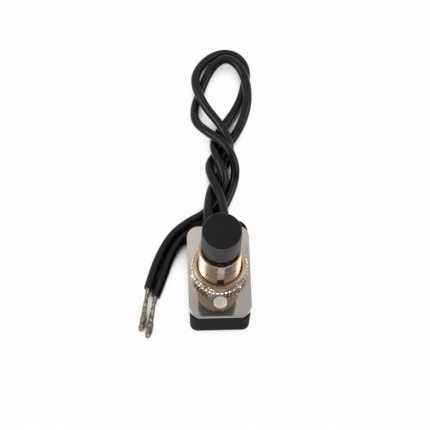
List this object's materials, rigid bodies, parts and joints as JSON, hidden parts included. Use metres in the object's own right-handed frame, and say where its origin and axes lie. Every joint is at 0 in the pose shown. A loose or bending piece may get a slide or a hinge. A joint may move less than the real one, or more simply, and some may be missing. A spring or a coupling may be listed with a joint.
{
  "type": "push on push off lamp switch",
  "caption": "Small canopy switch with a threaded bushing, nuts and a round push button that turns a lamp on and off, with two insulated leads.",
  "frame": {"origin": "on the bushing's axis, at the housing's underside", "axes": "+Z along the bushing towards the button, +Y towards the side the leads leave, +X to the right seen from the slotted side"},
  "size_m": [0.0348, 0.0903, 0.0407],
  "materials": {
    "housing": "moulded black, satin",
    "insulator_card": "black fibre, matte",
    "cover_plate": "polished, finely brushed",
    "plate_rivets": "dull plated",
    "bushing": "pale, machined thread",
    "guide_sleeve": "dark fibre",
    "hex_nut": "bright nickel",
    "lock_washer": "bright plated",
    "ring_nut": "champagne brass, bright",
    "button": "moulded black, satin top",
    "plunger": "moulded dark",
    "return_spring": "spring wire",
    "axle_pin": "turned",
    "thrust_washer": "stamped",
    "rotor": "natural moulded",
    "bridge_contact": "stamped",
    "contact_left": "stamped",
    "contact_right": "stamped",
    "contact_points": "silvery contact metal",
    "lead_left": "glossy black insulation",
    "lead_right": "glossy black insulation",
    "lead_left_wire": "tinned strands, dull",
    "lead_right_wire": "tinned strands, dull"
  },
  "bodies": {
    "base": {"housing": "housing", "insulator_card": "insulator_card", "cover_plate": "cover_plate", "plate_rivets": "plate_rivets", "bushing": "bushing", "guide_sleeve": "guide_sleeve", "hex_nut": "hex_nut", "lock_washer": "lock_washer", "ring_nut": "ring_nut", "return_spring": "return_spring", "axle_pin": "axle_pin", "thrust_washer": "thrust_washer", "contact_left": "contact_left", "contact_right": "contact_right", "contact_points": "contact_points", "lead_left": "lead_left", "lead_right": "lead_right", "lead_left_wire": "lead_left_wire", "lead_right_wire": "lead_right_wire"},
    "push": {"button": "button", "plunger": "plunger"},
    "turn": {"rotor": "rotor", "bridge_contact": "bridge_contact"}
  },
  "joints": [
    {"name": "button_slide", "type": "slide", "parent": "base", "child": "push", "axis": [0, 0, 1], "range_m": [-0.0026, 0], "stiffness_N_per_m": 400, "springref_m": 0.006, "deforming": ["return_spring"]},
    {"name": "rotor_turn", "type": "hinge", "parent": "base", "child": "turn", "pos_m": [0, 0, 0.005], "axis": [0, 0, 1], "continuous": true}
  ],
  "couplings": [
    {"joint": "rotor_turn", "follows": "button_slide", "rad_per_m": -402.7}
  ]
}
